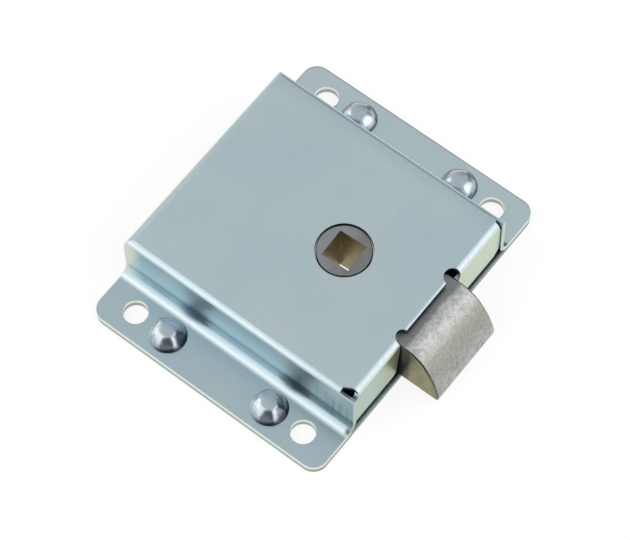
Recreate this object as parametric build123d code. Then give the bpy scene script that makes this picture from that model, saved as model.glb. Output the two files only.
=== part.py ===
from build123d import *
import os

# Slam lock, millimetres. Origin: centre of the four fixing holes, on the underside of the base plate.
# +X is the way the bolt comes out, +Z goes from the base plate out through the top of the cover.

# Case: a flat base plate and a folded cover that share the two flanges
case_length = 71.5
flange_width_overall = 91.0
flange_projection = 14.65
lock_height = 19.3
base_sheet = 1.5
cover_sheet = 1.25
plate_corner_radius = 4.0
top_bend_radius = 1.8
flap_bend_radius = 2.3
flange_bend_radius = 3.2

# End flaps of the cover, folded down between the side walls. Left is +Y and right is -Y
flap_inset = 0.4
flap_bottom_gap = 2.85
flap_side_gap = 0.15
left_corner_cut = 2.1
right_corner_cut = 0.6

# Reliefs at the two front corners, where the flap's bend meets a side wall's bend. The rear corners are
# closed, and their bends stop level with the flap
relief_depth = 3.2
left_relief_length = 2.0
left_relief_width = 1.9
left_relief_angle = 20
right_relief_length = 4.35
right_relief_width = 2.9
right_relief_angle = 60
rear_corner_drop = 2.0

# Fixing holes through both sheets, and the rivets on the same two lines
hole_end_margin = 9.3
hole_edge_margin = 6.7
fixing_hole_radius = 3.25
rivet_spacing_x = 32.0
rivet_shank_radius = 2.4
rivet_head_radius = 4.9
rivet_head_height = 3.8
rivet_flat_radius = 1.8
rivet_dome_radius = 5.0
rivet_clearance = 0.02
countersink_radius = 3.6
countersink_depth = 0.9

# Follower: the turning hub with its square socket and two ears
hub_x = 9.2
socket_square = 8.0
socket_turn = 2.5
follower_top_radius = 6.95
follower_hole_clearance = 0.46
follower_recess = 0.15
follower_base_radius = 6.4
follower_collar_radius = 9.0
journal_clearance = 0.08
follower_face_chamfer = 0.15
follower_foot_recess = 0.4
ear_tip_inset = 2.5
ear_tip_radius = 2.8
ear_bottom = 7.5
ear_thickness = 6.0
washer_thickness = 0.6
washer_clearance = 0.02
collar_clearance = 0.3

# Bolt: one casting with the curved head and a flat tail that goes round the follower
bolt_width = 23.6
bolt_draft = 0.4
bolt_projection = 11.95
bolt_throw = 12.0
bolt_floor_clearance = 0.1
bolt_roof_clearance = 0.9
bolt_slot_clearance = 0.25
bolt_curve_start = 0.65
bolt_crown_length = 6.4
bolt_crown_drop = 3.05
bolt_tip_height = 1.6
bolt_tip_undercut = 0.15
bolt_edge_radius = 0.3
bolt_side_radius = 0.6
bolt_rear_chamfer = 2.5
bolt_rear_clearance = 0.5
slot_edge_inset = 1.05
left_slot_relief_radius = 2.4
left_slot_relief_inset = 1.15
right_slot_relief_radius = 1.95
right_slot_relief_inset = 1.9
slot_relief_advance = 0.35
slot_relief_tilt = 30
slot_splay = 1.45
slot_corner_radius = 2.0
tail_thickness = 3.0
tail_rear_x = -11.0
tail_side_clearance = 5.1
tail_wide_end_x = 8.0
tail_shoulder_x = 14.0
tail_shoulder_half_width = 17.8
tail_neck_x = 22.0
tail_corner_radius = 2.0
window_clearance = 0.15
pull_lug_gap = 0.5
pull_lug_thickness = 4.0
pull_lug_inner_y = 17.5
pull_lug_height = 9.4

# Guide studs, riveted in the base plate, that run in the two slots of the tail
stud_x = -3.5
stud_y = 12.6
stud_radius = 2.5
stud_clearance = 0.1
stud_head_radius = 4.0
stud_head_height = 1.5
stud_washer_radius = 4.4
stud_washer_thickness = 0.6
stud_lift = 0.2

# Bolt springs on guide pins, held by a bracket behind the tail
spring_y = 9.0
spring_z = 8.0
spring_mean_radius = 3.4
spring_wire_radius = 0.45
spring_turns = 8
spring_end_gap = 0.1
spring_lug_half_width = 4.0
spring_lug_thickness = 2.5
spring_lug_top = 12.0
guide_pin_radius = 2.2
guide_pin_clearance = 0.1
guide_pin_overrun = 0.3
guide_pin_spigot_radius = 1.6
bracket_sheet = 1.5
bracket_side_clearance = 7.6
bracket_height = 13.0
bracket_foot_length = 10.0
bracket_bend_radius = 1.0
bracket_wall_gap = 0.2
bracket_rivet_side_inset = 5.0
bracket_rivet_inset = 4.5
bracket_rivet_radius = 1.5
bracket_rivet_head_radius = 2.8
bracket_rivet_head_height = 1.1
bracket_rivet_rounding = 0.9

# How far a cutting shape runs past what it cuts
overrun = 1.0

# Levels and faces worked out from the sizes above
front_edge = case_length / 2
flange_top = base_sheet + cover_sheet
cover_roof = lock_height - cover_sheet
half_flange = flange_width_overall / 2
wall_outer = half_flange - flange_projection
wall_inner = wall_outer - cover_sheet
top_bend_y = wall_outer - top_bend_radius
top_bend_z = lock_height - top_bend_radius
flap_face = front_edge - flap_inset
flap_back = flap_face - cover_sheet
flap_bottom = base_sheet + flap_bottom_gap
flap_half_width = wall_inner - flap_side_gap
hole_line_x = front_edge - hole_end_margin
hole_line_y = half_flange - hole_edge_margin

bolt_half_width = bolt_width / 2
bolt_top_half_width = bolt_half_width - bolt_draft
bolt_floor = base_sheet + bolt_floor_clearance
bolt_top = cover_roof - bolt_roof_clearance
bolt_tip_x = flap_face + bolt_projection
bolt_rear_x = hub_x + follower_collar_radius + bolt_throw + bolt_rear_clearance
tail_top = bolt_floor + tail_thickness
tail_half_width = wall_inner - tail_side_clearance
slot_edge_x = flap_face - slot_edge_inset
slot_half_width = bolt_top_half_width + bolt_slot_clearance

collar_bottom = tail_top + collar_clearance
collar_top = cover_roof - washer_thickness - 2 * washer_clearance
follower_face = lock_height - follower_recess
ear_rear_x = hub_x - ear_tip_radius
ear_tip_y = tail_half_width - ear_tip_inset

bracket_back_x = -(flap_back - bracket_wall_gap)
bracket_face_x = bracket_back_x + bracket_sheet
bracket_half_width = wall_inner - bracket_side_clearance
bracket_rivet_y = bracket_half_width - bracket_rivet_side_inset
foot_top = base_sheet + bracket_sheet


def box_between(low, high):
    """Box from its low corner to its high corner."""
    size = [b - a for a, b in zip(low, high)]
    middle = [(a + b) / 2 for a, b in zip(low, high)]
    return Pos(*middle) * Box(*size)


def disc(radius, bottom, top, x=0.0, y=0.0):
    """Upright cylinder between two levels."""
    return Pos(x, y, (bottom + top) / 2) * Cylinder(radius, top - bottom)


def rod(radius, start_x, end_x, y, z):
    """Cylinder along X between two places."""
    lying = Cylinder(radius, end_x - start_x, rotation=(0, 90, 0))
    return Pos((start_x + end_x) / 2, y, z) * lying


def edges_at(part, axis, tests):
    """Straight edges along an axis whose centres pass the tests, a dictionary of X, Y or Z to a value."""
    found = []
    for edge in part.edges().filter_by(axis):
        centre = edge.center()
        near = [abs(abs(getattr(centre, name)) - value) < 0.01 for name, value in tests.items()]
        if all(near):
            found.append(edge)
    return found


def fixing_places():
    """Centres of the four fixing holes."""
    return [(sx * hole_line_x, sy * hole_line_y) for sx in (-1, 1) for sy in (-1, 1)]


def flange_rivet_places():
    """Centres of the four rivets that join the cover to the base plate."""
    return [(sx * rivet_spacing_x / 2, sy * hole_line_y) for sx in (-1, 1) for sy in (-1, 1)]


def bracket_rivet_places():
    """Centres of the two rivets that hold the spring bracket."""
    x = bracket_back_x + bracket_foot_length - bracket_rivet_inset
    return [(x, side * bracket_rivet_y) for side in (-1, 1)]


def countersink(x, y, shank_radius):
    """Cone at the underside that a rivet tail is spread into."""
    cone = Cone(countersink_radius, shank_radius, countersink_depth)
    return Pos(x, y, countersink_depth / 2) * cone


def plate_blank(bottom, top):
    """Flat blank of the case with its rounded corners."""
    blank = box_between((-front_edge, -half_flange, bottom), (front_edge, half_flange, top))
    return fillet(blank.edges().filter_by(Axis.Z), plate_corner_radius)


def base_plate():
    """Flat sheet with the fixing holes, the follower's hole and the countersunk rivet holes."""
    plate = plate_blank(0, base_sheet)
    for x, y in fixing_places():
        plate -= disc(fixing_hole_radius, 0, base_sheet, x, y)
    for x, y in flange_rivet_places():
        plate -= disc(rivet_shank_radius + rivet_clearance, 0, base_sheet, x, y)
        plate -= countersink(x, y, rivet_shank_radius + rivet_clearance)
    for x, y in bracket_rivet_places():
        plate -= disc(bracket_rivet_radius + rivet_clearance, 0, base_sheet, x, y)
        plate -= countersink(x, y, bracket_rivet_radius + rivet_clearance)
    for side in (-1, 1):
        plate -= disc(stud_radius + rivet_clearance, 0, base_sheet, stud_x, side * stud_y)
        plate -= countersink(stud_x, side * stud_y, stud_radius + rivet_clearance)
    plate -= disc(follower_base_radius + journal_clearance, 0, base_sheet, hub_x)
    return plate


def cover_channel():
    """Roof, side walls and flanges of the cover, folded from one sheet along X."""
    outline = [
        (-half_flange, base_sheet),
        (-wall_inner, base_sheet),
        (-wall_inner, cover_roof),
        (wall_inner, cover_roof),
        (wall_inner, base_sheet),
        (half_flange, base_sheet),
        (half_flange, flange_top),
        (wall_outer, flange_top),
        (wall_outer, lock_height),
        (-wall_outer, lock_height),
        (-wall_outer, flange_top),
        (-half_flange, flange_top),
    ]
    section = Plane.YZ * make_face(Polyline(*outline, close=True))
    channel = extrude(section, amount=front_edge, both=True)
    bends = [
        ({"Y": wall_outer, "Z": lock_height}, top_bend_radius),
        ({"Y": wall_inner, "Z": cover_roof}, top_bend_radius - cover_sheet),
        ({"Y": wall_outer, "Z": flange_top}, flange_bend_radius),
        ({"Y": wall_inner, "Z": base_sheet}, flange_bend_radius + cover_sheet),
    ]
    for place, radius in bends:
        channel = fillet(edges_at(channel, Axis.X, place), radius)
    ends = edges_at(channel, Axis.Z, {"X": front_edge, "Y": half_flange})
    return fillet(ends, plate_corner_radius)


def end_flap():
    """Front end flap with its bend, as a strip of roof turned down. The rear one is its mirror image."""
    inner_bend = flap_bend_radius - cover_sheet
    start_x = flap_face - 2 * flap_bend_radius
    outline = [
        (start_x, cover_roof),
        (flap_back, cover_roof),
        (flap_back, flap_bottom),
        (flap_face, flap_bottom),
        (flap_face, lock_height),
        (start_x, lock_height),
    ]
    section = Plane.XZ * make_face(Polyline(*outline, close=True))
    flap = extrude(section, amount=flap_half_width, both=True)
    flap = fillet(edges_at(flap, Axis.Y, {"X": flap_face, "Z": lock_height}), flap_bend_radius)
    flap = fillet(edges_at(flap, Axis.Y, {"X": flap_back, "Z": cover_roof}), inner_bend)
    for side, cut in ((1, left_corner_cut), (-1, right_corner_cut)):
        corners = edges_at(flap, Axis.X, {"Y": flap_half_width, "Z": flap_bottom})
        flap = chamfer([edge for edge in corners if side * edge.center().Y > 0], cut)
    return flap


def roof_trim():
    """Front end of the flat roof, which the flap's bend takes the place of."""
    reach = front_edge + overrun
    start_x = flap_face - flap_bend_radius
    return box_between((start_x, -top_bend_y, cover_roof - overrun),
                       (reach, top_bend_y, lock_height + overrun))


def corner_relief(length, width, angle):
    """Relief at the front left corner: it cuts the flap's side and the side bend, up to an angle."""
    inner_y = wall_outer - width
    bottom = lock_height - relief_depth
    reach = front_edge + overrun
    start_x = front_edge - length
    bend = Vector(top_bend_y, top_bend_z)
    lean = Vector(0, 1).rotate(Axis.Z, -angle)
    inside = bend + lean * (top_bend_radius - cover_sheet)
    outside = bend + lean * 2 * top_bend_radius
    section = [
        (inner_y, outside.Y),
        (inner_y, bottom + wall_inner - inner_y),
        (wall_inner, bottom),
        (wall_inner, top_bend_z),
        (inside.X, inside.Y),
        (outside.X, outside.Y),
    ]
    plan = [
        (start_x, top_bend_y),
        (start_x + 2 * (top_bend_y - inner_y), inner_y),
        (reach, inner_y),
        (reach, half_flange),
        (start_x, half_flange),
    ]
    along = extrude(Plane.YZ * make_face(Polyline(*section, close=True)), amount=reach)
    upright = extrude(make_face(Polyline(*plan, close=True)), amount=outside.Y)
    return along & upright


def rear_bend_trim():
    """Space outside the rear flap's bend, which the side bends and the tops of the walls stop at."""
    reach = front_edge + overrun
    top = lock_height + overrun
    start_x = flap_face - flap_bend_radius
    bend = TangentArc((start_x, lock_height), (flap_face, lock_height - flap_bend_radius), tangent=(1, 0))
    rest = Polyline(bend @ 1, (front_edge, top_bend_z - rear_corner_drop),
                    (reach, top_bend_z - rear_corner_drop), (reach, top), (start_x, top), bend @ 0)
    section = Plane.XZ * make_face(bend + rest)
    return mirror(extrude(section, amount=half_flange, both=True), about=Plane.YZ)


def slot_space(start_x, top):
    """Space of the bolt slot in front of a place and below a level, a little wider at the bottom."""
    foot_half_width = slot_half_width + slot_splay
    half_outline = [
        (slot_half_width, top),
        (slot_half_width, top_bend_z),
        (foot_half_width, flap_bottom),
        (foot_half_width, 0),
    ]
    outline = half_outline + [(-y, z) for y, z in reversed(half_outline)]
    section = Plane.YZ * make_face(Polyline(*outline, close=True))
    return Pos(start_x, 0, 0) * extrude(section, amount=front_edge + overrun - start_x)


def bolt_slot():
    """Opening in the front flap for the bolt: open below, with two round reliefs at the top."""
    slot = slot_space(slot_edge_x, lock_height + overrun)
    slot += slot_space(flap_back - overrun, cover_roof)
    reliefs = [
        (1, left_slot_relief_radius, left_slot_relief_inset),
        (-1, right_slot_relief_radius, right_slot_relief_inset),
    ]
    for side, radius, inset in reliefs:
        punch = Cylinder(radius, 4 * cover_sheet, rotation=(0, slot_relief_tilt, 0))
        place_y = side * (slot_half_width - inset)
        slot += Pos(slot_edge_x + slot_relief_advance, place_y, lock_height - cover_sheet / 2) * punch
    return slot


def cover():
    """Folded cover with its two end flaps, bolt slot, follower hole and holes in the flanges."""
    shell = cover_channel()
    trim = roof_trim()
    shell -= trim
    shell -= mirror(trim, about=Plane.YZ)
    shell -= rear_bend_trim()
    flap = end_flap()
    shell += flap
    shell += mirror(flap, about=Plane.YZ)
    shell -= corner_relief(left_relief_length, left_relief_width, left_relief_angle)
    right_relief = corner_relief(right_relief_length, right_relief_width, right_relief_angle)
    shell -= mirror(right_relief, about=Plane.XZ)
    shell -= bolt_slot()
    slot_corners = edges_at(shell, Axis.X, {"Y": slot_half_width + slot_splay, "Z": flap_bottom})
    shell = fillet(slot_corners, slot_corner_radius)
    shell -= disc(follower_top_radius + follower_hole_clearance, cover_roof, lock_height, hub_x)
    for x, y in fixing_places():
        shell -= disc(fixing_hole_radius, base_sheet, flange_top, x, y)
    for x, y in flange_rivet_places():
        shell -= disc(rivet_shank_radius + rivet_clearance, base_sheet, flange_top, x, y)
    return shell


def flange_rivet(x, y):
    """Round head with a small flat on top, a shank and a tail spread flush with the underside."""
    flat = Line((0, rivet_head_height), (rivet_flat_radius, rivet_head_height))
    dome = RadiusArc(flat @ 1, (rivet_head_radius, 0), rivet_dome_radius)
    under = Polyline(dome @ 1, (0, 0), flat @ 0)
    head = revolve(Plane.XZ * make_face(flat + dome + under), Axis.Z)
    rivet = Pos(x, y, flange_top) * head
    rivet += disc(rivet_shank_radius, 0, flange_top, x, y)
    rivet += countersink(x, y, rivet_shank_radius)
    return rivet


def bracket_rivet(x, y):
    """Low round rivet through the bracket's foot and the base plate."""
    head_top = foot_top + bracket_rivet_head_height
    head = disc(bracket_rivet_head_radius, foot_top, head_top, x, y)
    head = fillet(head.edges().sort_by(Axis.Z)[-1], bracket_rivet_rounding)
    rivet = head + disc(bracket_rivet_radius, 0, foot_top, x, y)
    return rivet + countersink(x, y, bracket_rivet_radius)


def follower():
    """Hub with a square socket right through, a collar and one ear to each side."""
    hub = disc(follower_base_radius, follower_foot_recess, bolt_floor, hub_x)
    hub += disc(follower_top_radius, bolt_floor, follower_face, hub_x)
    hub = chamfer(hub.edges().sort_by(Axis.Z)[-1], follower_face_chamfer)
    hub += disc(follower_collar_radius, collar_bottom, collar_top, hub_x)
    ear_top = ear_bottom + ear_thickness
    arm = box_between((hub_x - ear_tip_radius, -ear_tip_y, ear_bottom),
                      (hub_x + ear_tip_radius, ear_tip_y, ear_top))
    for side in (-1, 1):
        arm += disc(ear_tip_radius, ear_bottom, ear_top, hub_x, side * ear_tip_y)
    hub += arm
    half = socket_square / 2
    socket = box_between((-half, -half, 0), (half, half, lock_height))
    return hub - Pos(hub_x, 0, 0) * Rot(0, 0, socket_turn) * socket


def follower_washer():
    """Thin washer between the follower's collar and the roof of the cover."""
    bottom = collar_top + washer_clearance
    ring = disc(follower_collar_radius, bottom, bottom + washer_thickness, hub_x)
    return ring - disc(follower_top_radius + journal_clearance, bottom, bottom + washer_thickness, hub_x)


def on_nose_side(edge):
    """Whether an edge runs along the side of the bolt's curved face or of its tip."""
    middle = edge.center()
    beside = abs(middle.Y) > bolt_top_half_width - bolt_edge_radius
    return beside and middle.X > flap_face + bolt_curve_start and middle.Z > bolt_floor + bolt_edge_radius


def bolt_head():
    """Head of the bolt, flat below. A tightly curved crown runs on into a flatter nose, and the sides
    come closer together towards the top, as the casting has to leave its mould."""
    curve_x = flap_face + bolt_curve_start
    crown_end = (curve_x + bolt_crown_length, bolt_top - bolt_crown_drop)
    crown = TangentArc((curve_x, bolt_top), crown_end, tangent=(1, 0))
    nose = TangentArc(crown_end, (bolt_tip_x, bolt_floor + bolt_tip_height), tangent=crown % 1)
    rest = Polyline(nose @ 1, (bolt_tip_x - bolt_tip_undercut, bolt_floor), (bolt_rear_x, bolt_floor),
                    (bolt_rear_x, bolt_top), crown @ 0)
    section = Plane.XZ * make_face(crown + nose + rest)
    head = extrude(section, amount=bolt_half_width, both=True)
    head = chamfer(edges_at(head, Axis.Z, {"X": bolt_rear_x}), bolt_rear_chamfer)
    sides = [(-bolt_half_width, bolt_floor), (bolt_half_width, bolt_floor),
             (bolt_top_half_width, bolt_top), (-bolt_top_half_width, bolt_top)]
    mould = Plane.YZ * make_face(Polyline(*sides, close=True))
    head &= extrude(mould, amount=bolt_tip_x + overrun)
    head = fillet([edge for edge in head.edges() if on_nose_side(edge)], bolt_side_radius)
    return fillet(edges_at(head, Axis.Y, {"X": bolt_tip_x - bolt_tip_undercut}), bolt_edge_radius)


def bolt_tail():
    """Flat tail with the window for the follower, two guide slots, two pull lugs and two spring lugs."""
    half_outline = [
        (tail_rear_x, tail_half_width),
        (tail_wide_end_x, tail_half_width),
        (tail_shoulder_x, tail_shoulder_half_width),
        (tail_neck_x, bolt_half_width),
        (bolt_rear_x + bolt_rear_chamfer, bolt_half_width),
    ]
    outline = half_outline + [(x, -y) for x, y in reversed(half_outline)]
    plate = extrude(make_face(Polyline(*outline, close=True)), amount=tail_thickness)
    plate = Pos(0, 0, bolt_floor) * plate
    plate = fillet(edges_at(plate, Axis.Z, {"Y": tail_half_width}), tail_corner_radius)
    opening = follower_top_radius + window_clearance
    plate -= box_between((hub_x - opening, -opening, bolt_floor),
                         (hub_x + bolt_throw + opening, opening, tail_top))
    slot_half = stud_radius + stud_clearance
    for side in (-1, 1):
        y = side * stud_y
        plate -= disc(slot_half, bolt_floor, tail_top, stud_x, y)
        plate -= disc(slot_half, bolt_floor, tail_top, stud_x + bolt_throw, y)
        plate -= box_between((stud_x, y - slot_half, bolt_floor),
                             (stud_x + bolt_throw, y + slot_half, tail_top))
        pull_x = ear_rear_x - pull_lug_gap
        ends = sorted((side * pull_lug_inner_y, side * tail_half_width))
        plate += box_between((pull_x - pull_lug_thickness, ends[0], bolt_floor),
                             (pull_x, ends[1], tail_top + pull_lug_height))
        middle = side * spring_y
        lug_front_x = tail_rear_x + spring_lug_thickness
        lug = box_between((tail_rear_x, middle - spring_lug_half_width, bolt_floor),
                          (lug_front_x, middle + spring_lug_half_width, spring_lug_top))
        plate += lug - rod(guide_pin_radius + guide_pin_clearance, tail_rear_x - overrun,
                           lug_front_x + overrun, middle, spring_z)
    return plate


def slam_bolt():
    """The bolt in one piece."""
    return bolt_head() + bolt_tail()


def guide_stud(side):
    """Shouldered stud: riveted in the base plate, with a low head over the tail."""
    shoulder_top = tail_top + stud_lift + stud_washer_thickness
    head_top = shoulder_top + stud_head_height
    stud = disc(stud_radius, 0, shoulder_top, stud_x, side * stud_y)
    stud += countersink(stud_x, side * stud_y, stud_radius)
    head = disc(stud_head_radius, shoulder_top, head_top, stud_x, side * stud_y)
    return stud + chamfer(head.edges().sort_by(Axis.Z)[-1], stud_head_height / 3)


def stud_washer(side):
    """Washer under a stud's head, on top of the tail."""
    bottom = tail_top + stud_lift / 2
    top = bottom + stud_washer_thickness
    ring = disc(stud_washer_radius, bottom, top, stud_x, side * stud_y)
    return ring - disc(stud_radius + stud_clearance / 2, bottom, top, stud_x, side * stud_y)


def spring_bracket():
    """Angle riveted to the base plate behind the tail, which holds both guide pins."""
    foot = box_between((bracket_back_x, -bracket_half_width, base_sheet),
                       (bracket_back_x + bracket_foot_length, bracket_half_width, foot_top))
    wall = box_between((bracket_back_x, -bracket_half_width, base_sheet),
                       (bracket_face_x, bracket_half_width, bracket_height))
    angle = foot + wall
    inner = edges_at(angle, Axis.Y, {"X": -bracket_face_x, "Z": foot_top})
    angle = fillet(inner, bracket_bend_radius)
    outer = edges_at(angle, Axis.Y, {"X": -bracket_back_x, "Z": base_sheet})
    angle = fillet(outer, bracket_bend_radius + bracket_sheet)
    for x, y in bracket_rivet_places():
        angle -= disc(bracket_rivet_radius + rivet_clearance, base_sheet, foot_top, x, y)
    for side in (-1, 1):
        angle -= rod(guide_pin_spigot_radius + rivet_clearance, bracket_back_x, bracket_face_x,
                     side * spring_y, spring_z)
    return angle


def spring_guide_pin(side):
    """Pin through a spring and through the tail's spring lug, with its spigot set in the bracket."""
    end_x = tail_rear_x + spring_lug_thickness + guide_pin_overrun
    pin = rod(guide_pin_radius, bracket_face_x, end_x, side * spring_y, spring_z)
    pin = chamfer(pin.edges().sort_by(Axis.X)[-1], guide_pin_radius / 4)
    return pin + rod(guide_pin_spigot_radius, bracket_back_x, bracket_face_x, side * spring_y, spring_z)


def bolt_spring(side):
    """Compression spring between the bracket and a spring lug of the tail."""
    start_x = bracket_face_x + spring_wire_radius + spring_end_gap
    end_x = tail_rear_x - spring_wire_radius - spring_end_gap
    length = end_x - start_x
    path = Helix(pitch=length / spring_turns, height=length, radius=spring_mean_radius)
    wire = sweep(Plane(path @ 0, z_dir=path % 0) * Circle(spring_wire_radius), path=path)
    return Pos(start_x, side * spring_y, spring_z) * Rot(0, 90, 0) * wire


def name_side(side):
    """Left is +Y and right is -Y, seen from behind the lock with the bolt pointing away."""
    return "left" if side > 0 else "right"


def all_nodes():
    """Every sub-part of the lock by its name."""
    nodes = {
        "base_plate": base_plate(),
        "cover": cover(),
        "flange_rivets": Compound(children=[flange_rivet(x, y) for x, y in flange_rivet_places()]),
        "slam_bolt": slam_bolt(),
        "follower": follower(),
        "follower_washer": follower_washer(),
        "spring_bracket": spring_bracket(),
        "bracket_rivets": Compound(children=[bracket_rivet(x, y) for x, y in bracket_rivet_places()]),
    }
    for side in (-1, 1):
        name = name_side(side)
        nodes["guide_stud_" + name] = guide_stud(side)
        nodes["stud_washer_" + name] = stud_washer(side)
        nodes["spring_guide_pin_" + name] = spring_guide_pin(side)
        nodes["bolt_spring_" + name] = bolt_spring(side)
    return nodes


os.makedirs("parts", exist_ok=True)
for node, shape in all_nodes().items():
    export_step(shape, "parts/" + node + ".step")
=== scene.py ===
import math

import bmesh
import bpy
from mathutils import Euler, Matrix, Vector


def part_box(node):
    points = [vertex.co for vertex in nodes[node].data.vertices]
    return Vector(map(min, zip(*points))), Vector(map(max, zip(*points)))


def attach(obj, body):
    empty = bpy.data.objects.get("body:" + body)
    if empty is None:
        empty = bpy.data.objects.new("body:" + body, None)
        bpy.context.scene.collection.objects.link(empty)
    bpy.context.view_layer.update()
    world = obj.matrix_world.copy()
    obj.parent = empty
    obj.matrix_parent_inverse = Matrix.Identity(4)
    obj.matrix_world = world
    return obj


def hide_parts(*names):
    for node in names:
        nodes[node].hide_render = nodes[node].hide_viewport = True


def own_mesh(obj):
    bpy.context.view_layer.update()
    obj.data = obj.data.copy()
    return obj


# Looks of a zinc-plated slam lock. Everything is in metres, in the frame of the CAD model.
MM = 0.001

# Camera: where it stands, how it is turned, and its lens for a 36 mm sensor
CAMERA_PLACE = (0.19885, -0.24707, 0.63771)
CAMERA_TURN = (0.45958, 0.00820, 0.66139)
CAMERA_LENS = 161.57
SENSOR_WIDTH = 36.0
CLIP_START = 0.01

# Floor: its half width, how far it lies below the lock, its grey, and the share of plain white it shows
FLOOR_HALF = 3.0
FLOOR_DROP = 0.02 * MM
FLOOR_GREY = 0.8
FLOOR_ROUGHNESS = 0.9
FLOOR_WHITE_SHARE = 0.86

# Light that the white surroundings give to dull surfaces. Mirrors and the camera see full white
SURROUNDING_LIGHT = 0.35

# Lamps for the floor's light and shadow: name, azimuth and elevation in degrees
LAMPS = [("left_lamp", 240, 45), ("right_lamp", 30, 45)]
LAMP_SIZE = 1.2
LAMP_BRIGHTNESS = 2.4

# Cards that the metal mirrors: name, azimuth and elevation in degrees, width, height, brightness,
# share of the card that has this brightness before it fades into white, distance
CARDS = [
    ("left_glow", 245, 32, 2.1, 2.0, 1.8, 0.75, 1.2),
    ("right_glow", 26, 30, 1.5, 1.7, 1.85, 0.7, 1.2),
    ("rear_glow", 183, 36, 0.9, 0.9, 1.8, 0.6, 1.2),
    ("back_shade", 112, 24, 1.0, 1.2, 0.5, 0.35, 1.2),
    ("side_shade", 68, 18, 0.6, 1.3, 0.6, 0.55, 1.1),
    ("gap_shade", 308, 28, 1.1, 1.8, 0.5, 0.5, 1.1),
]

# The cover: its walls' outer faces and the roof's flat part, counted from the middle line
WALL_HALF = 30.85 * MM
ROOF_HALF = 29.05 * MM

# How far the square socket and the cover's hole reach from the follower's axis, and half of the bolt slot
SOCKET_REACH = 6.0 * MM
HOLE_REACH = 7.6 * MM
SLOT_HALF = 11.7 * MM

# A flange rivet, with the middle of its dome set off from the axis and below the flange
RIVET_HEAD_RADIUS = 4.9 * MM
RIVET_HEAD_HEIGHT = 3.8 * MM
RIVET_TAIL_RADIUS = 3.6 * MM
RIVET_TAIL_DEPTH = 0.9 * MM
RIVET_SHANK_RADIUS = 2.4 * MM
RIVET_DOME_RADIUS = 5.0 * MM
RIVET_DOME_OFFSET = -0.03 * MM
RIVET_DOME_SINK = 0.85 * MM
RIVET_DOME_STEPS = 18
RIVET_SEGMENTS = 72
RIVET_SHARP_ANGLE = math.radians(35)

# The flats round a rivet head: how many, how far turned, their depth as a share of the radius, and how
# the depth grows along the dome
RIVET_FLATS = 6
RIVET_FLATS_TURN = math.radians(7)
RIVET_FLAT_DEPTH = 0.045
RIVET_FLAT_GROWTH = 0.8

# Bright and dark fields painted on the rivet heads, as the photograph shows the near and the far row:
# azimuth, inner and outer half angle in degrees, share, colour
NEAR_RIVET_FIELDS = [
    (200, 26, 44, 0.85, (232, 238, 242)),
    (302, 13, 26, 0.85, (84, 89, 98)),
    (336, 4, 13, 0.75, (226, 232, 238)),
    (10, 12, 26, 0.8, (82, 86, 99)),
]
FAR_RIVET_FIELDS = [
    (238, 18, 42, 0.75, (216, 224, 229)),
    (68, 8, 18, 0.8, (66, 76, 86)),
    (350, 8, 24, 0.6, (204, 213, 219)),
    (292, 12, 22, 0.6, (104, 114, 122)),
]

# Sockets of the mix node that hold colours
MIX_FIRST = 6
MIX_SECOND = 7
MIX_RESULT = 2

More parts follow.
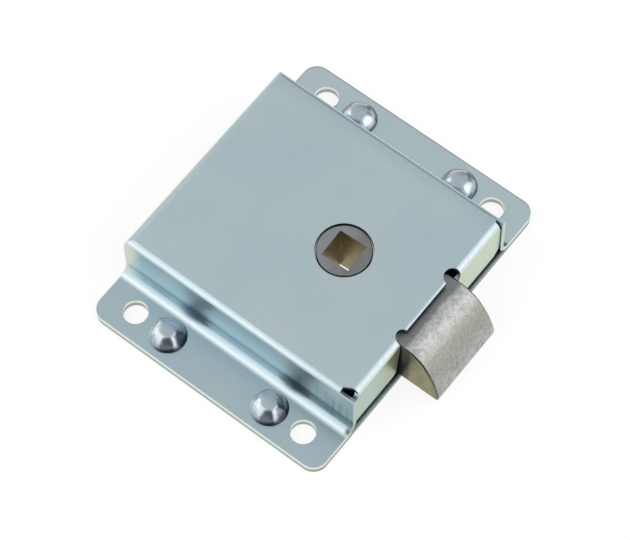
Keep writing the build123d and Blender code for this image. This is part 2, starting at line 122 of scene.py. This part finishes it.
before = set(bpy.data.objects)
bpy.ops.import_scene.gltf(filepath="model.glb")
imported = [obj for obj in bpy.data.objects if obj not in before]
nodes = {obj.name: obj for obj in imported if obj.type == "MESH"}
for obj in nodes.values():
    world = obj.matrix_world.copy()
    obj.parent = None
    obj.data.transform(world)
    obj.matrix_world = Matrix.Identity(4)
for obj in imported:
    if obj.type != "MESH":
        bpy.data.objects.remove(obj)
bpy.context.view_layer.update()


class Graph:
    """Short way to write a node tree: every call adds a node or a few and gives back the last output."""

    def __init__(self, tree):
        self.tree = tree

    def node(self, kind, **settings):
        made = self.tree.nodes.new(kind)
        for name, value in settings.items():
            setattr(made, name, value)
        return made

    def put(self, socket, value):
        """Links an output to a socket, or sets the socket's own number or colour."""
        if isinstance(value, bpy.types.NodeSocket):
            self.tree.links.new(value, socket)
        else:
            socket.default_value = value

    def places(self):
        return self.node("ShaderNodeTexCoord").outputs["Object"]

    def stretched(self, scale):
        """Place on the surface, with each axis scaled by its own factor."""
        made = self.node("ShaderNodeMapping")
        self.put(made.inputs["Vector"], self.places())
        made.inputs["Scale"].default_value = scale
        return made.outputs["Vector"]

    def noise(self, scale, detail, roughness, vector=None):
        made = self.node("ShaderNodeTexNoise")
        self.put(made.inputs["Vector"], self.places() if vector is None else vector)
        made.inputs["Scale"].default_value = scale
        made.inputs["Detail"].default_value = detail
        made.inputs["Roughness"].default_value = roughness
        return made.outputs["Fac"]

    def cells(self, scale):
        """Soft round cells: the distance from their centres."""
        made = self.node("ShaderNodeTexVoronoi", feature="SMOOTH_F1")
        self.put(made.inputs["Vector"], self.places())
        made.inputs["Scale"].default_value = scale
        return made.outputs["Distance"]

    def spread(self, value, low, high, to_low=0.0, to_high=1.0):
        """Stretches the part of a value between low and high over a new range, clamped."""
        made = self.node("ShaderNodeMapRange", interpolation_type="SMOOTHSTEP")
        self.put(made.inputs["Value"], value)
        made.inputs["From Min"].default_value = low
        made.inputs["From Max"].default_value = high
        made.inputs["To Min"].default_value = to_low
        made.inputs["To Max"].default_value = to_high
        return made.outputs["Result"]

    def math(self, operation, a, b=0.0):
        made = self.node("ShaderNodeMath", operation=operation)
        self.put(made.inputs[0], a)
        self.put(made.inputs[1], b)
        return made.outputs["Value"]

    def product(self, first, *others):
        """All the values multiplied: where they are masks, the place that all of them cover."""
        for other in others:
            first = self.math("MULTIPLY", first, other)
        return first

    def above(self, value, limit):
        return self.math("GREATER_THAN", value, limit)

    def below(self, value, limit):
        return self.math("LESS_THAN", value, limit)

    def mix(self, share, a, b):
        made = self.node("ShaderNodeMix", data_type="RGBA")
        self.put(made.inputs[0], share)
        self.put(made.inputs[MIX_FIRST], a)
        self.put(made.inputs[MIX_SECOND], b)
        return made.outputs[MIX_RESULT]

    def paint(self, colour, tone, *masks):
        """Lays a tone over a colour, with the product of the masks as its share."""
        return self.mix(self.product(*masks), colour, tone)

    def axes(self):
        """The three coordinates of the place on the surface, in metres."""
        made = self.node("ShaderNodeSeparateXYZ")
        self.put(made.inputs[0], self.places())
        return made.outputs

    def true_normal(self):
        return self.node("ShaderNodeNewGeometry").outputs["True Normal"]

    def facing(self):
        """How much the surface looks along each axis, without a sign."""
        made = self.node("ShaderNodeSeparateXYZ")
        self.put(made.inputs[0], self.true_normal())
        return [self.math("ABSOLUTE", output) for output in made.outputs]

    def leaning(self, towards, normal=None):
        """How much the surface looks towards a direction, from -1 to 1."""
        made = self.node("ShaderNodeVectorMath", operation="DOT_PRODUCT")
        self.put(made.inputs[0], self.true_normal() if normal is None else normal)
        made.inputs[1].default_value = Vector(towards).normalized()
        return made.outputs["Value"]

    def turned_to(self, azimuth, narrow, wide):
        """1 where a slope looks within the narrow angle of an azimuth, falling to 0 at the wide one."""
        just_over_one = 1.0001
        upright = self.leaning((0, 0, 1))
        slope = self.math("SQRT", self.math("SUBTRACT", just_over_one, self.product(upright, upright)))
        share = self.math("DIVIDE", self.leaning(direction(azimuth, 0)), slope)
        return self.spread(share, math.cos(math.radians(wide)), math.cos(math.radians(narrow)))

    def from_axis(self, centre):
        """Distance from an upright axis."""
        made = self.node("ShaderNodeVectorMath", operation="DISTANCE")
        self.put(made.inputs[0], self.stretched((1, 1, 0)))
        made.inputs[1].default_value = (centre.x, centre.y, 0)
        return made.outputs["Value"]

    def rounded(self, radius):
        """Surface direction with sharp edges rounded off."""
        made = self.node("ShaderNodeBevel", samples=6)
        made.inputs["Radius"].default_value = radius
        return made.outputs["Normal"]

    def edge_share(self, radius, gain):
        """Near a sharp edge this is up to 1, elsewhere 0."""
        dot = self.node("ShaderNodeVectorMath", operation="DOT_PRODUCT")
        self.put(dot.inputs[0], self.rounded(radius))
        self.put(dot.inputs[1], self.node("ShaderNodeNewGeometry").outputs["Normal"])
        away = self.math("SUBTRACT", 1.0, dot.outputs["Value"])
        made = self.node("ShaderNodeMath", operation="MULTIPLY", use_clamp=True)
        self.put(made.inputs[0], away)
        made.inputs[1].default_value = gain
        return made.outputs["Value"]

    def bump(self, height, strength, distance, normal=None):
        made = self.node("ShaderNodeBump")
        self.put(made.inputs["Height"], height)
        made.inputs["Strength"].default_value = strength
        made.inputs["Distance"].default_value = distance
        if normal is not None:
            self.put(made.inputs["Normal"], normal)
        return made.outputs["Normal"]

    def seen_or_mirrored(self):
        """1 for rays from the camera, a mirror or a glass, else 0."""
        path = self.node("ShaderNodeLightPath").outputs
        seen = self.math("MAXIMUM", path["Is Camera Ray"], path["Is Glossy Ray"])
        return self.math("MAXIMUM", seen, path["Is Transmission Ray"])


class Surface:
    """What a material needs to know: the place, where it faces, and the box of the CAD piece."""

    def __init__(self, graph, piece):
        self.x, self.y, self.z = graph.axes()
        self.facing_x, self.facing_y, self.facing_z = graph.facing()
        self.low, self.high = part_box(piece)


def rgb(red, green, blue):
    """Colour from display values of 0 to 255."""
    def linear(value):
        value /= 255
        return value / 12.92 if value <= 0.04045 else ((value + 0.055) / 1.055) ** 2.4
    return (linear(red), linear(green), linear(blue), 1.0)


def direction(azimuth, elevation):
    """Unit vector for an azimuth counted from +X towards +Y, and an elevation, in degrees."""
    a, e = math.radians(azimuth), math.radians(elevation)
    return Vector((math.cos(a) * math.cos(e), math.sin(a) * math.cos(e), math.sin(e)))


def hub_centre():
    low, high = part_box("follower_washer")
    return (low + high) / 2


def add_object(name, data):
    made = bpy.data.objects.new(name, data)
    bpy.context.scene.collection.objects.link(made)
    return made


def add_sheet(name, half_x, half_y):
    """Flat rectangle round the origin, for the floor and the cards."""
    mesh = bpy.data.meshes.new(name)
    corners = [(-half_x, -half_y, 0), (half_x, -half_y, 0), (half_x, half_y, 0), (-half_x, half_y, 0)]
    mesh.from_pydata(corners, [], [(0, 1, 2, 3)])
    return add_object(name, mesh)


def new_metal(name, edge_tint):
    """A metal material with its graph and its shader."""
    material = bpy.data.materials.new(name)
    material.use_nodes = True
    graph = Graph(material.node_tree)
    shader = material.node_tree.nodes["Principled BSDF"]
    shader.inputs["Metallic"].default_value = 1.0
    shader.inputs["Specular Tint"].default_value = edge_tint
    return material, graph, shader


def finish_metal(graph, shader, colour, roughness, normal):
    graph.put(shader.inputs["Base Color"], colour)
    graph.put(shader.inputs["Roughness"], roughness)
    graph.put(shader.inputs["Normal"], normal)


def rubbed_and_highlit_bends(graph, at, colour):
    """Bends painted brighter, partly wear and partly a painted highlight: along the roof, at the walls' foot
    and over the front flap.
    """
    # Wear and painted highlight on the bends along the roof and at the foot of the walls
    upper_half = graph.above(at.z, at.high.z - 8 * MM)
    top_bend = graph.product(graph.spread(at.facing_z, 0.9, 0.6), graph.spread(at.facing_z, 0.05, 0.3))
    top_bend = graph.product(top_bend, graph.spread(at.x, 32 * MM, 14 * MM, 0.1, 1.0))
    foot_bend = graph.product(graph.spread(at.facing_z, 0.9998, 0.985), graph.spread(at.facing_z, 0.8, 0.95))
    tone = graph.mix(upper_half, rgb(206, 218, 220), rgb(206, 221, 227))
    colour = graph.paint(colour, tone, graph.mix(upper_half, foot_bend, top_bend), 0.7)

    # Painted highlights on the bends over the front flap
    off_upright = graph.spread(at.facing_z, 0.1, 0.35)
    front_bend = graph.spread(at.facing_x, 0.35, 0.9)
    colour = graph.paint(colour, rgb(236, 230, 222), front_bend, off_upright, 0.4)
    steep_bend = graph.spread(at.facing_x, 0.8, 0.93)
    return graph.paint(colour, rgb(234, 246, 250), steep_bend, off_upright, 0.55)


def wall_bands(graph, at, colour):
    """Dark and bluish bands painted along the side walls and their bends, as the photograph shows them:
    painted shade at the foot and by the far bend, a painted highlight on the far bend, and a painted bluish
    reflection low on the rear of the walls.
    """
    upper_half = graph.above(at.z, at.high.z - 8 * MM)
    # Painted shade at the foot of the walls
    shaded_foot = graph.product(graph.spread(at.facing_z, 0.8, 0.5), graph.below(at.z, at.low.z + 6 * MM))
    colour = graph.paint(colour, rgb(108, 126, 138), shaded_foot, 0.7)

    # Painted shade by the far bend, then a painted highlight on it
    by_far_bend = graph.spread(at.y, ROOF_HALF - 5 * MM, ROOF_HALF + 0.5 * MM)
    nearly_flat = graph.spread(at.facing_z, 0.85, 0.95)
    colour = graph.paint(colour, rgb(128, 148, 164), by_far_bend, nearly_flat, upper_half, 0.2)
    far_line = graph.spread(graph.leaning((0, 1, 0)), 0.7, 0.88)
    colour = graph.paint(colour, rgb(204, 220, 246), far_line, upper_half, 0.6)

    # Painted bluish reflection low on the rear of the walls
    wall = graph.spread(at.facing_y, 0.7, 0.95)
    wall_foot = graph.product(wall, graph.spread(at.z, at.high.z, at.low.z + 7 * MM))
    rear_part = graph.spread(at.x, 20 * MM, 10 * MM)
    return graph.paint(colour, rgb(186, 212, 234), wall_foot, rear_part, 0.5)


def wall_ends(graph, at, colour):
    """Ends of the side walls: scored upright at the front, a painted shadow in the front fold, and lighter at
    the rear.
    """
    wall = graph.spread(at.facing_y, 0.7, 0.95)
    upright = graph.noise(1.0, 3.0, 0.6, graph.stretched((1100, 1100, 40)))
    scored = graph.product(graph.spread(at.x, 16 * MM, 28 * MM), wall)
    scored = graph.product(scored, graph.spread(at.z, at.high.z - 4 * MM, at.high.z - 9 * MM))
    colour = graph.paint(colour, rgb(106, 132, 144), scored, graph.spread(upright, 0.4, 0.65, 0.15, 0.8))

    # Painted shadow low in the front fold, where the wall meets the flange
    at_front = graph.spread(at.x, at.high.x - 1.6 * MM, at.high.x - 0.7 * MM)
    low_down = graph.spread(at.z, at.low.z + 3.2 * MM, at.low.z + 1.6 * MM)
    off_flat = graph.spread(at.facing_z, 0.99, 0.9)
    colour = graph.paint(colour, rgb(60, 68, 76), at_front, low_down, off_flat, 0.85)

    # Lighter towards the rear end of the walls
    at_rear = graph.spread(at.x, at.low.x + 6 * MM, at.low.x + 1.5 * MM)
    return graph.paint(colour, rgb(214, 218, 206), at_rear, wall, 0.8)


def front_film(graph, at, colour):
    """Film of the plating on the front flap: greenish, more yellow towards the bolt, paler on the +Y side."""
    at_front = graph.spread(at.x, at.high.x - 2.6 * MM, at.high.x - 1.2 * MM)
    upright = graph.spread(at.facing_x, 0.93, 0.995)
    blots = graph.product(graph.noise(320, 3.0, 0.55), 8 * MM)
    from_middle = graph.math("ADD", graph.math("ABSOLUTE", at.y), blots)
    yellow = graph.spread(from_middle, 27 * MM, 17 * MM)
    film = graph.mix(yellow, rgb(172, 190, 182), rgb(168, 179, 151))
    far_side = graph.spread(at.y, -5 * MM, 5 * MM)
    film = graph.mix(far_side, film, rgb(196, 206, 192))
    return graph.paint(colour, film, at_front, upright)


def cut_edges(graph, at, colour):
    """Cut edges of the two sheets and of their holes, painted shade on the outer edges, and worn edges."""
    cut = graph.product(graph.spread(at.facing_z, 0.4, 0.2), graph.below(at.z, at.high.z - 16.5 * MM))
    upper_sheet = graph.above(at.z, at.low.z)
    colour = graph.paint(colour, graph.mix(upper_sheet, rgb(156, 162, 158), rgb(224, 231, 224)), cut)

    # Painted shade on the outer flange edges that point away from the bolt or towards +Y
    shaded_edge = graph.spread(graph.leaning((-0.7, 1, 0), graph.rounded(0.8 * MM)), 0.1, 0.35)
    on_flange = graph.product(graph.below(at.z, at.low.z + 1.3 * MM), graph.above(at.y, WALL_HALF))
    colour = graph.paint(colour, rgb(120, 122, 130), shaded_edge, on_flange, 0.8)
    return graph.paint(colour, rgb(205, 214, 216), graph.edge_share(0.25 * MM, 2.5), 0.3)


def shaded_hole_edges(graph, at, colour):
    """Painted shade on the cut edges round the follower and over the bolt."""
    high_up = graph.above(at.z, at.high.z - 1.6 * MM)
    in_hole = graph.below(graph.from_axis(hub_centre()), HOLE_REACH)
    hole_wall = graph.product(in_hole, graph.spread(at.facing_z, 0.7, 0.4))
    in_slot = graph.product(graph.below(graph.math("ABSOLUTE", at.y), SLOT_HALF), graph.above(at.x, 0.0))
    slot_edge = graph.product(in_slot, graph.spread(at.facing_x, 0.8, 0.95))
    # Painted shade on the wall of the follower's hole and on the slot edge
    return graph.paint(colour, rgb(44, 54, 62), high_up, graph.math("MAXIMUM", hole_wall, slot_edge))


def zinc_sheet():
    """Plated sheet: cool grey, streaked where it was folded, with a thin yellowish film on its front, and
    painted highlights, reflections and shade on its bends, walls and edges.
    """
    material, graph, shader = new_metal("zinc_sheet_look", (0.96, 1.0, 0.92, 1.0))
    at = Surface(graph, "cover")
    clouds = graph.spread(graph.noise(45, 3.0, 0.5), 0.3, 0.7)
    colour = graph.mix(clouds, rgb(167, 184, 190), rgb(173, 187, 190))

    # Folded walls and bends: bluer, with streaks along the fold. The bluish tone is a painted reflection
    folded = graph.spread(at.facing_z, 0.995, 0.8)
    bands = graph.noise(1.0, 3.0, 0.6, graph.stretched((24, 900, 900)))
    colour = graph.paint(colour, rgb(142, 168, 188), folded, graph.spread(bands, 0.35, 0.7), 0.45)
    grain = graph.noise(2300, 3.0, 0.6)
    colour = graph.paint(colour, rgb(140, 160, 170), graph.spread(grain, 0.35, 0.65, 0.0, 0.16))
    # Painted shade: the near flange darker and bluer
    near_flange = graph.below(at.y, -WALL_HALF - 3 * MM)
    colour = graph.paint(colour, rgb(140, 160, 172), near_flange, 0.35)
    for layer in (rubbed_and_highlit_bends, wall_bands, wall_ends, front_film, cut_edges, shaded_hole_edges):
        colour = layer(graph, at, colour)

    # The walls are unevenly rough, and the base plate is dull along its front margin
    uneven = graph.product(folded, graph.spread(bands, 0.3, 0.7, 0.0, 0.08))
    roughness = graph.math("ADD", uneven, graph.spread(clouds, 0.0, 1.0, 0.27, 0.31))
    front_margin = graph.spread(at.x, at.high.x - 0.7 * MM, at.high.x - 0.4 * MM)
    margin = graph.product(graph.below(at.z, at.low.z + 0.1 * MM), front_margin)
    roughness = graph.math("ADD", roughness, graph.product(margin, 0.35))
    normal = graph.bump(graph.product(folded, bands), 0.15, 0.02 * MM, graph.rounded(0.25 * MM))
    finish_metal(graph, shader, colour, roughness, graph.bump(grain, 0.06, 0.01 * MM, normal))
    return material


def rivet_steel():
    """Heads pressed into soft facets by the forming tool, with a dull flat on top, painted highlights and
    shade round the head, and a painted shadow on the front of the rim.
    """
    material, graph, shader = new_metal("rivet_steel_look", (1.0, 1.0, 0.9, 1.0))
    at = Surface(graph, "flange_rivets")
    top_z = at.high.z
    patches = graph.spread(graph.noise(420, 2.0, 0.5), 0.35, 0.7)
    colour = graph.mix(patches, rgb(160, 170, 178), rgb(184, 192, 196))
    top = graph.spread(at.z, top_z - 0.25 * MM, top_z - 0.02 * MM)
    colour = graph.paint(colour, rgb(160, 171, 178), top)

    # These fields are painted where the photograph shows light and dark. They don't follow the lamps
    slope = graph.spread(at.z, top_z - 0.1 * MM, top_z - 0.5 * MM)
    near_row, far_row = graph.below(at.y, 0.0), graph.above(at.y, 0.0)
    for row, fields in ((near_row, NEAR_RIVET_FIELDS), (far_row, FAR_RIVET_FIELDS)):
        for azimuth, narrow, wide, share, tone in fields:
            field = graph.turned_to(azimuth, narrow, wide)
            colour = graph.paint(colour, rgb(*tone), field, slope, row, share)
    # Painted shadow on the front half of the rim
    front_half = graph.spread(graph.leaning((1, -0.35, 0)), -0.1, 0.4)
    rim = graph.spread(at.z, top_z - 2.1 * MM, top_z - 3.3 * MM)
    colour = graph.paint(colour, rgb(52, 64, 78), rim, front_half, 0.85)
    roughness = graph.math("ADD", graph.spread(patches, 0.0, 1.0, 0.17, 0.26), graph.product(top, 0.14))
    normal = graph.bump(graph.cells(420), 0.25, 0.08 * MM, graph.rounded(0.25 * MM))
    normal = graph.bump(graph.noise(2600, 2.0, 0.5), 0.15, 0.01 * MM, normal)
    finish_metal(graph, shader, colour, roughness, normal)
    return material


def case_shadow_on_bolt(graph, at, sides, colour):
    """Painted shadow of the case on the part of the bolt that runs out of it, with a ragged border."""
    ragged = graph.product(graph.math("SUBTRACT", graph.noise(260, 3.0, 0.6), 0.5), 1.8 * MM)
    ragged = graph.math("ADD", at.x, ragged)
    ragged = graph.math("SUBTRACT", ragged, graph.product(sides, 1.5 * MM))
    # Painted shadow of the case, darker on the sides
    in_case_shadow = graph.spread(ragged, at.high.x - 10 * MM, at.high.x - 11.4 * MM)
    return graph.paint(colour, graph.mix(sides, rgb(100, 104, 108), rgb(58, 62, 70)), in_case_shadow, 0.8)


def cast_metal():
    """Tumbled casting: grey with a fine mottled grain, smoother along its curved edges, with painted shade on
    them, on its lower edge and by the case.
    """
    material, graph, shader = new_metal("cast_metal_look", (1.0, 0.98, 0.88, 1.0))
    at = Surface(graph, "slam_bolt")
    tip_x = at.high.x
    blotches = graph.spread(graph.noise(420, 4.0, 0.6), 0.34, 0.68)
    colour = graph.mix(blotches, rgb(144, 147, 149), rgb(166, 168, 168))
    mottled = graph.spread(graph.noise(1000, 3.0, 0.6), 0.36, 0.64)
    colour = graph.paint(colour, rgb(200, 201, 198), mottled, 0.5)
    behind_tip = graph.spread(at.x, tip_x, tip_x - 3 * MM)
    worn_nose = graph.product(graph.spread(at.x, tip_x - 8.4 * MM, tip_x - 5 * MM), behind_tip)
    colour = graph.paint(colour, rgb(147, 148, 138), worn_nose, 0.75)
    grain = graph.noise(1900, 3.0, 0.6)
    colour = graph.paint(colour, rgb(196, 196, 192), graph.spread(grain, 0.5, 0.72, 0.0, 0.5))
    specks = graph.spread(graph.noise(2700, 2.0, 0.5), 0.58, 0.72)
    colour = graph.paint(colour, rgb(92, 93, 92), specks, 0.6)

    # The sides are darker and yellowish, a painted reflection. The curved edges and the lower edge have
    # painted shade
    sides = graph.spread(at.facing_y, 0.8, 0.97)
    colour = graph.paint(colour, graph.mix(blotches, rgb(126, 124, 95), rgb(140, 138, 109)), sides)
    rounding = graph.product(graph.spread(at.facing_y, 0.3, 0.5), graph.spread(at.facing_y, 0.985, 0.85))
    along = graph.spread(at.x, tip_x - 1.5 * MM, tip_x - 5 * MM, 0.7, 0.95)
    colour = graph.paint(colour, rgb(40, 44, 38), rounding, along)
    lower_edge = graph.spread(at.z, at.low.z + 0.45 * MM, at.low.z + 0.1 * MM)
    colour = graph.paint(colour, rgb(60, 58, 48), sides, lower_edge, 0.6)
    colour = case_shadow_on_bolt(graph, at, sides, colour)
    roughness = graph.spread(blotches, 0.0, 1.0, 0.41, 0.36)
    normal = graph.bump(grain, 0.55, 0.05 * MM, graph.rounded(0.2 * MM))
    finish_metal(graph, shader, colour, roughness, normal)
    return material


def follower_metal():
    """Dark sintered hub. Inside the square socket it is stained olive brown."""
    material, graph, shader = new_metal("follower_metal_look", (1.0, 0.98, 0.9, 1.0))
    at = Surface(graph, "follower")
    centre = hub_centre()
    clouds = graph.spread(graph.noise(500, 3.0, 0.6), 0.35, 0.7)
    # Painted shade: the face grows darker towards +X
    across = graph.spread(at.x, centre.x - 5 * MM, centre.x + 5 * MM)
    face = graph.mix(across, rgb(128, 132, 136), rgb(112, 113, 112))
    face = graph.paint(face, rgb(140, 144, 147), clouds, 0.3)
    stain = graph.mix(clouds, rgb(128, 118, 84), rgb(164, 152, 112))
    rust = graph.spread(graph.noise(260, 3.0, 0.6), 0.5, 0.66)
    stain = graph.paint(stain, rgb(150, 116, 82), rust, 0.6)
    inside = graph.below(graph.from_axis(centre), SOCKET_REACH)
    under_face = graph.below(at.z, at.high.z - 0.1 * MM)
    colour = graph.paint(face, stain, inside, under_face)
    roughness = graph.spread(clouds, 0.0, 1.0, 0.34, 0.46)
    normal = graph.bump(graph.noise(1800, 3.0, 0.6), 0.3, 0.03 * MM, graph.rounded(0.15 * MM))
    finish_metal(graph, shader, colour, roughness, normal)
    return material


def bright_steel():
    """Turned pins, studs and washers: fine rings of the lathe and a clean gloss."""
    material, graph, shader = new_metal("bright_steel_look", (1.0, 1.0, 0.95, 1.0))
    clouds = graph.noise(500, 3.0, 0.5)
    colour = graph.mix(clouds, rgb(160, 163, 166), rgb(190, 192, 193))
    roughness = graph.spread(clouds, 0.3, 0.7, 0.2, 0.32)
    rings = graph.noise(1.0, 2.0, 0.5, graph.stretched((5200, 500, 500)))
    normal = graph.bump(rings, 0.15, 0.02 * MM, graph.rounded(0.15 * MM))
    finish_metal(graph, shader, colour, roughness, normal)
    return material


def spring_steel():
    """Drawn wire: dark grey with a thin film of oil."""
    material, graph, shader = new_metal("spring_steel_look", (1.0, 0.98, 0.92, 1.0))
    clouds = graph.noise(700, 3.0, 0.6)
    colour = graph.mix(clouds, rgb(96, 98, 102), rgb(136, 136, 138))
    roughness = graph.spread(clouds, 0.3, 0.7, 0.26, 0.4)
    normal = graph.bump(graph.noise(4000, 2.0, 0.5), 0.2, 0.01 * MM)
    finish_metal(graph, shader, colour, roughness, normal)
    return material


def dress():
    """Gives every CAD node its material."""
    looks = {
        zinc_sheet(): ["base_plate", "cover", "spring_bracket"],
        rivet_steel(): ["flange_rivets", "bracket_rivets"],
        cast_metal(): ["slam_bolt"],
        follower_metal(): ["follower"],
        bright_steel(): ["follower_washer", "guide_stud_left", "guide_stud_right", "stud_washer_left",
                         "stud_washer_right", "spring_guide_pin_left", "spring_guide_pin_right"],
        spring_steel(): ["bolt_spring_left", "bolt_spring_right"],
    }
    for material, names in looks.items():
        for name in names:
            data = nodes[name].data
            data.materials.clear()
            data.materials.append(material)


def rivet_profile(top):
    """Radius, height and depth of the flats for each ring of a flange rivet, from its tail to its top."""
    flange = top - RIVET_HEAD_HEIGHT
    profile = [
        (RIVET_TAIL_RADIUS, 0.0, 0.0),
        (RIVET_SHANK_RADIUS, RIVET_TAIL_DEPTH, 0.0),
        (RIVET_SHANK_RADIUS, flange, 0.0),
    ]
    first = math.asin(RIVET_DOME_SINK / RIVET_DOME_RADIUS)
    last = math.asin((RIVET_HEAD_HEIGHT + RIVET_DOME_SINK) / RIVET_DOME_RADIUS)
    for step in range(RIVET_DOME_STEPS + 1):
        share = step / RIVET_DOME_STEPS
        angle = first + share * (last - first)
        radius = RIVET_DOME_OFFSET + RIVET_DOME_RADIUS * math.cos(angle)
        height = flange - RIVET_DOME_SINK + RIVET_DOME_RADIUS * math.sin(angle)
        depth = RIVET_FLAT_DEPTH * math.sin(math.pi * share ** RIVET_FLAT_GROWTH)
        profile.append((radius, height, depth))
    return profile


def rivet_ring(work, centre, side_x, side_y, radius, height, depth):
    """One ring of a rivet, pressed in softly at the middle of each flat by a share of its radius."""
    ring = []
    for step in range(RIVET_SEGMENTS):
        angle = 2 * math.pi * step / RIVET_SEGMENTS
        reach = radius * (1 - depth * (0.5 + 0.5 * math.cos(RIVET_FLATS * angle)))
        turned = angle + RIVET_FLATS_TURN
        place = (side_x * reach * math.cos(turned), side_y * reach * math.sin(turned), height)
        ring.append(work.verts.new(centre + Vector(place)))
    return ring


def add_rivet(work, corner, side_x, side_y):
    """One closed rivet in the given quarter of the lock. The corner is the rivets' common box corner."""
    centre = Vector((side_x * (corner.x - RIVET_HEAD_RADIUS), side_y * (corner.y - RIVET_HEAD_RADIUS), 0))
    rings = [rivet_ring(work, centre, side_x, side_y, *step) for step in rivet_profile(corner.z)]
    for lower, upper in zip(rings, rings[1:]):
        for i in range(RIVET_SEGMENTS):
            j = (i + 1) % RIVET_SEGMENTS
            work.faces.new((lower[i], lower[j], upper[j], upper[i]))
    work.faces.new(rings[0])
    work.faces.new(rings[-1])


def faceted_rivets(material):
    """The four flange rivets, with the six soft flats that the forming tool pressed round each head."""
    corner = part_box("flange_rivets")[1]
    work = bmesh.new()
    for side_x in (-1, 1):
        for side_y in (-1, 1):
            add_rivet(work, corner, side_x, side_y)
    bmesh.ops.recalc_face_normals(work, faces=work.faces)
    mesh = bpy.data.meshes.new("faceted_rivets")
    work.to_mesh(mesh)
    work.free()
    mesh.polygons.foreach_set("use_smooth", [True] * len(mesh.polygons))
    mesh.set_sharp_from_angle(angle=RIVET_SHARP_ANGLE)
    mesh.materials.append(material)
    made = add_object("faceted_rivets", mesh)
    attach(made, "case")
    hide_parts("flange_rivets")


def coil_springs():
    """The two springs of the bolt, copied onto meshes of their own and fixed to the case. The real springs
    shorten against their bracket as the bolt goes in; this script doesn't shorten them.
    """
    for side in ("left", "right"):
        node = nodes["bolt_spring_" + side]
        spring = add_object("coil_spring_" + side, node.data.copy())
        spring.matrix_world = node.matrix_world
        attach(spring, "case")
        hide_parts(node.name)
        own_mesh(spring)


def floor():
    """Large white floor under the lock, on which its shadow stays faint."""
    plane = add_sheet("floor", FLOOR_HALF, FLOOR_HALF)
    plane.location.z = -FLOOR_DROP
    material = bpy.data.materials.new("floor_white")
    material.use_nodes = True
    graph = Graph(material.node_tree)
    shader = material.node_tree.nodes["Principled BSDF"]
    shader.inputs["Base Color"].default_value = (FLOOR_GREY, FLOOR_GREY, FLOOR_GREY, 1.0)
    shader.inputs["Roughness"].default_value = FLOOR_ROUGHNESS
    shader.inputs["Specular IOR Level"].default_value = 0.0
    white = graph.node("ShaderNodeEmission").outputs["Emission"]
    blend = graph.node("ShaderNodeMixShader")
    graph.put(blend.inputs[0], graph.product(graph.seen_or_mirrored(), FLOOR_WHITE_SHARE))
    graph.put(blend.inputs[1], shader.outputs["BSDF"])
    graph.put(blend.inputs[2], white)
    graph.put(material.node_tree.nodes["Material Output"].inputs["Surface"], blend.outputs[0])
    plane.data.materials.append(material)


def lamp(name, azimuth, elevation):
    """Square area lamp for the floor's light and shadow. What the metal mirrors are the cards."""
    data = bpy.data.lights.new(name, "AREA")
    data.size = LAMP_SIZE
    data.energy = LAMP_BRIGHTNESS * LAMP_SIZE * LAMP_SIZE * math.pi
    made = add_object(name, data)
    towards = direction(azimuth, elevation)
    made.location = towards
    made.rotation_euler = towards.to_track_quat("Z", "Y").to_euler()
    made.visible_glossy = False


def card(name, azimuth, elevation, width, height, brightness, core, distance):
    """Card that only mirrors see. From its own brightness it fades into the white around it."""
    half_x, half_y = width / 2, height / 2
    made = add_sheet(name, half_x, half_y)
    towards = direction(azimuth, elevation)
    made.location = towards * distance
    made.rotation_euler = towards.to_track_quat("Z", "Y").to_euler()
    material = bpy.data.materials.new(name)
    material.use_nodes = True
    material.node_tree.nodes.clear()
    graph = Graph(material.node_tree)
    length = graph.node("ShaderNodeVectorMath", operation="LENGTH")
    graph.put(length.inputs[0], graph.stretched((1 / half_x, 1 / half_y, 1)))
    glow = graph.node("ShaderNodeEmission")
    graph.put(glow.inputs["Strength"], graph.spread(length.outputs["Value"], core, 1.0, brightness, 1.0))
    out = graph.node("ShaderNodeOutputMaterial")
    graph.put(out.inputs["Surface"], glow.outputs["Emission"])
    made.data.materials.append(material)
    made.visible_camera = False
    made.visible_diffuse = False
    made.visible_shadow = False


def studio():
    """White surroundings, lamps, glowing and shading cards, and the floor."""
    world = bpy.data.worlds.new("studio")
    bpy.context.scene.world = world
    world.use_nodes = True
    graph = Graph(world.node_tree)
    background = world.node_tree.nodes["Background"]
    background.inputs["Color"].default_value = (1.0, 1.0, 1.0, 1.0)
    strength = graph.spread(graph.seen_or_mirrored(), 0.0, 1.0, SURROUNDING_LIGHT, 1.0)
    graph.put(background.inputs["Strength"], strength)
    for row in LAMPS:
        lamp(*row)
    for row in CARDS:
        card(*row)
    floor()


def camera():
    data = bpy.data.cameras.new("camera")
    data.sensor_fit = "HORIZONTAL"
    data.sensor_width = SENSOR_WIDTH
    data.lens = CAMERA_LENS
    data.clip_start = CLIP_START
    made = add_object("camera", data)
    made.location = CAMERA_PLACE
    made.rotation_euler = Euler(CAMERA_TURN, "XYZ")
    bpy.context.scene.camera = made


camera()
studio()
dress()
faceted_rivets(nodes["bracket_rivets"].data.materials[0])
coil_springs()
bpy.context.scene.view_settings.view_transform = "Standard"
